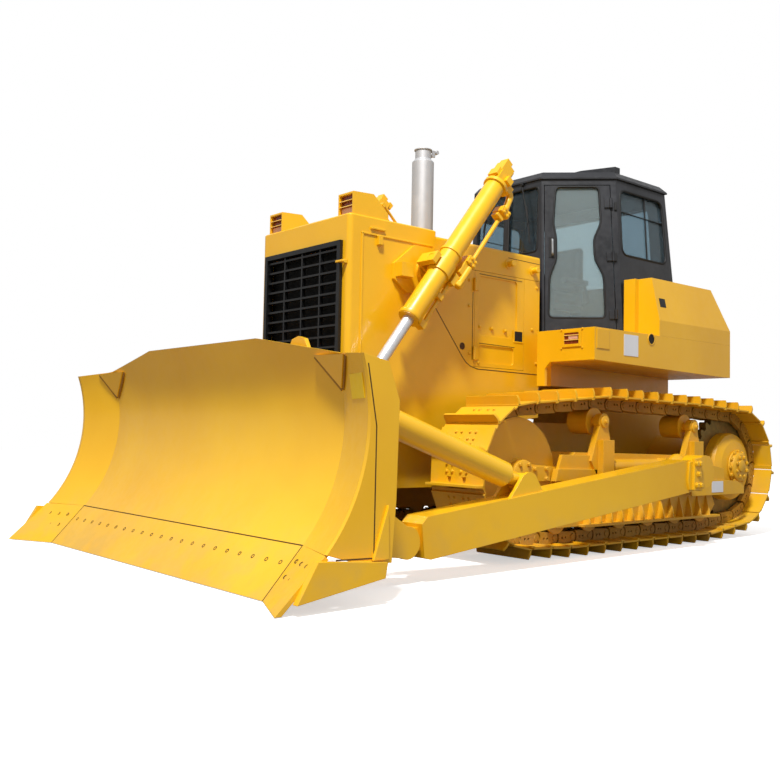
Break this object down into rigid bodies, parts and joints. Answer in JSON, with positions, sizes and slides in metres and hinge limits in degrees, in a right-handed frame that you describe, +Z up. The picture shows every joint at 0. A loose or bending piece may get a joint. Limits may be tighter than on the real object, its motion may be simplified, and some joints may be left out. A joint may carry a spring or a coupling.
{
  "type": "bulldozer",
  "caption": "Crawler bulldozer with a lifting semi-U blade, enclosed cab, twin lift cylinders beside the hood and steel tracks.",
  "frame": {"origin": "on the ground, below the middle of the machine's length and width", "axes": "+X to the machine's left side, -Y ahead towards the blade, +Z up"},
  "size_m": [4.13, 6.8799, 3.504],
  "materials": {
    "track_steel": "worn brown steel",
    "frame_yellow": "gloss enamel, dusty",
    "worn_steel": "scoured bare steel",
    "hood_yellow": "gloss enamel",
    "blade_yellow": "gloss enamel, scuffed",
    "rod_chrome": "hard chrome",
    "grille_black": "satin black",
    "stack_silver": "aluminised steel",
    "engine_iron": "rough cast",
    "cab_charcoal": "satin charcoal enamel",
    "cab_glass": "tinted",
    "seat_fabric": "woven",
    "console_plastic": "moulded"
  },
  "bodies": {
    "chassis": {"cab_base": "hood_yellow", "cab_crossbeam": "cab_charcoal", "cab_deck": "cab_charcoal", "cab_front": "cab_charcoal", "cab_rear": "cab_charcoal", "cab_roof": "cab_charcoal", "cab_sides": "cab_charcoal", "cab_windows": "cab_glass", "carrier_rollers": "frame_yellow", "console": "console_plastic", "cylinder_brackets": "hood_yellow", "drawbar": "frame_yellow", "engine_block": "engine_iron", "exhaust_stack": "stack_silver", "fenders": "hood_yellow", "final_drives": "frame_yellow", "fuel_tank": "hood_yellow", "grille": "grille_black", "headlamps": "hood_yellow", "hood_sides": "hood_yellow", "hood_top": "hood_yellow", "idlers": "frame_yellow", "main_frame": "frame_yellow", "operator_seat": "seat_fabric", "radiator": "grille_black", "radiator_guard": "hood_yellow", "side_tanks": "hood_yellow", "sprockets": "worn_steel", "track_frames": "frame_yellow", "track_left": "track_steel", "track_right": "track_steel", "track_rollers": "frame_yellow", "trunnions": "frame_yellow"},
    "blade": {"blade_back": "blade_yellow", "brace": "blade_yellow", "cutting_edge": "worn_steel", "end_bits": "worn_steel", "end_plates": "blade_yellow", "moldboard": "blade_yellow", "push_arms": "blade_yellow", "tilt_cylinder": "blade_yellow"},
    "lift_barrel_left": {"lift_barrel_left": "hood_yellow", "lift_yoke_left": "hood_yellow"},
    "lift_rod_left": {"lift_rod_left": "rod_chrome"},
    "engine_door_left": {"engine_door_left": "hood_yellow"},
    "cab_door_left": {"cab_door_left": "cab_charcoal", "door_glass_left": "cab_glass"},
    "lift_barrel_right": {"lift_barrel_right": "hood_yellow", "lift_yoke_right": "hood_yellow"},
    "lift_rod_right": {"lift_rod_right": "rod_chrome"},
    "engine_door_right": {"engine_door_right": "hood_yellow"},
    "cab_door_right": {"cab_door_right": "cab_charcoal", "door_glass_right": "cab_glass"},
    "rain_cap": {"rain_cap": "stack_silver"}
  },
  "joints": [
    {"name": "blade_lift", "type": "hinge", "parent": "chassis", "child": "blade", "pos_m": [0, 1.307, 0.67], "axis": [-1, 0, 0], "range_deg": [-7, 20]},
    {"name": "barrel_swing_left", "type": "hinge", "parent": "chassis", "child": "lift_barrel_left", "pos_m": [0.8, -1.153, 2.245], "axis": [-1, 0, 0], "range_deg": [-10.5, 29]},
    {"name": "rod_stroke_left", "type": "slide", "parent": "lift_barrel_left", "child": "lift_rod_left", "axis": [0, -0.6159, -0.7878], "range_m": [-0.98, 0.345]},
    {"name": "barrel_swing_right", "type": "hinge", "parent": "chassis", "child": "lift_barrel_right", "pos_m": [-0.8, -1.153, 2.245], "axis": [-1, 0, 0], "range_deg": [-10.5, 29]},
    {"name": "rod_stroke_right", "type": "slide", "parent": "lift_barrel_right", "child": "lift_rod_right", "axis": [0, -0.6159, -0.7878], "range_m": [-0.98, 0.345]},
    {"name": "engine_door_left_hinge", "type": "hinge", "parent": "chassis", "child": "engine_door_left", "pos_m": [0.6053, -0.568, 1.95], "axis": [0, 0, -1], "range_deg": [0, 85]},
    {"name": "cab_door_left_hinge", "type": "hinge", "parent": "chassis", "child": "cab_door_left", "pos_m": [0.96681, 0.90427, 2], "axis": [-0.0675, 0.0034, 0.9977], "range_deg": [0, 95]},
    {"name": "engine_door_right_hinge", "type": "hinge", "parent": "chassis", "child": "engine_door_right", "pos_m": [-0.6053, -0.568, 1.95], "axis": [0, 0, 1], "range_deg": [0, 85]},
    {"name": "cab_door_right_hinge", "type": "hinge", "parent": "chassis", "child": "cab_door_right", "pos_m": [-0.96681, 0.90427, 2], "axis": [-0.0675, -0.0034, -0.9977], "range_deg": [0, 95]},
    {"name": "rain_cap_hinge", "type": "hinge", "parent": "chassis", "child": "rain_cap", "pos_m": [0, -0.544, 3.48], "axis": [-1, 0, 0], "range_deg": [0, 60]}
  ],
  "couplings": [
    {"joint": "barrel_swing_left", "follows": "blade_lift", "ratio": 1.42},
    {"joint": "rod_stroke_left", "follows": "blade_lift", "m_per_rad": -2.779},
    {"joint": "barrel_swing_right", "follows": "blade_lift", "ratio": 1.42},
    {"joint": "rod_stroke_right", "follows": "blade_lift", "m_per_rad": -2.779}
  ]
}
